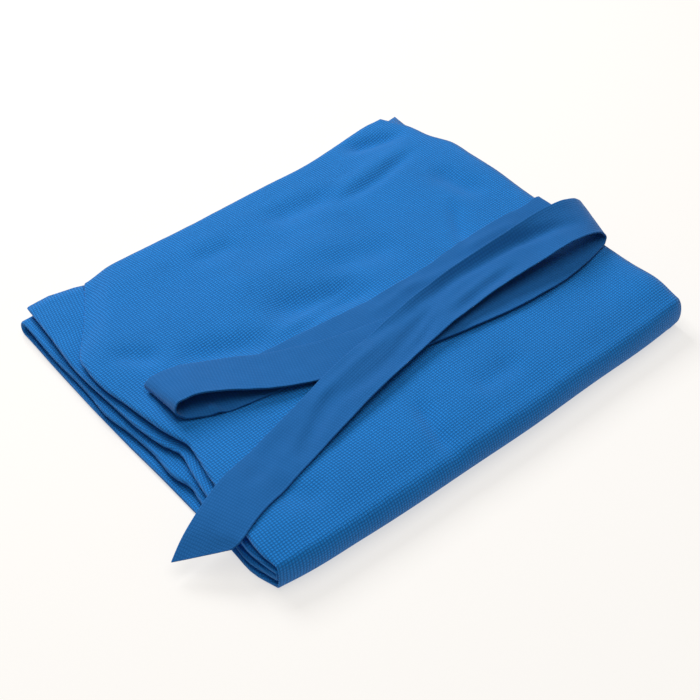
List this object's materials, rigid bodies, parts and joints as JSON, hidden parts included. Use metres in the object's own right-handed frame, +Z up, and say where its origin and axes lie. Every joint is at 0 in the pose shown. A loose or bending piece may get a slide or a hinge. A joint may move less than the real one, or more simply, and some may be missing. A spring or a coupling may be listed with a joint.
{
  "type": "costume cape",
  "caption": "Folded costume cape of plain woven cloth with a neckband and long neck ties, one laid in a Z fold on top; opens at its spine fold.",
  "frame": {"origin": "middle of the folded cape's box, on the surface it rests on", "axes": "+X along the spine fold, from the folded left end to the side hems; +Y from the spine fold to the back edge; +Z up"},
  "size_m": [0.4078, 0.3018, 0.0508],
  "materials": {
    "cape_cloth": "matte mini-matt basket weave with a soft sheen, royal blue",
    "neckband_cloth": "the cape's own cloth folded double, royal blue",
    "tie_cloth": "the cape's own cloth, two plies pressed flat with a sewn edge, royal blue"
  },
  "bodies": {
    "lower_half": {"panel_leaf_4": "cape_cloth", "panel_leaf_3": "cape_cloth", "back_fold_outer_ply": "cape_cloth", "back_fold_inner_ply": "cape_cloth", "spine_ply_1_lower": "cape_cloth", "spine_ply_2_lower": "cape_cloth", "spine_ply_3_lower": "cape_cloth", "spine_ply_4_lower": "cape_cloth"},
    "upper_half": {"panel_leaf_2": "cape_cloth", "panel_leaf_1": "cape_cloth", "spine_ply_1_upper": "cape_cloth", "spine_ply_2_upper": "cape_cloth", "spine_ply_3_upper": "cape_cloth", "spine_ply_4_upper": "cape_cloth", "neckband": "neckband_cloth", "tie_1_hidden_run": "tie_cloth", "tie_2_run_1": "tie_cloth", "tie_2_run_2": "tie_cloth", "tie_2_run_3": "tie_cloth", "tie_2_run_4": "tie_cloth", "tie_1_end_wrap": "tie_cloth"},
    "tie": {"tie_1_bottom_strand": "tie_cloth", "tie_1_left_loop": "tie_cloth", "tie_1_middle_strand": "tie_cloth", "tie_1_right_loop_lower": "tie_cloth"},
    "tie_tail": {"tie_1_right_loop_upper": "tie_cloth", "tie_1_tail": "tie_cloth"}
  },
  "joints": [
    {"name": "spine_fold", "type": "hinge", "parent": "lower_half", "child": "upper_half", "pos_m": [0.0132, -0.15105, 0.01225], "axis": [1, 0, 0], "range_deg": [0, 90]},
    {"name": "tie_lift", "type": "hinge", "parent": "upper_half", "child": "tie", "pos_m": [0.2002, -0.0184, 0.0275], "axis": [0, 1, 0], "range_deg": [0, 80]},
    {"name": "tail_unfold", "type": "hinge", "parent": "tie", "child": "tie_tail", "pos_m": [0.2042, -0.0504, 0.0375], "axis": [0, 1, 0], "range_deg": [0, 100]}
  ]
}
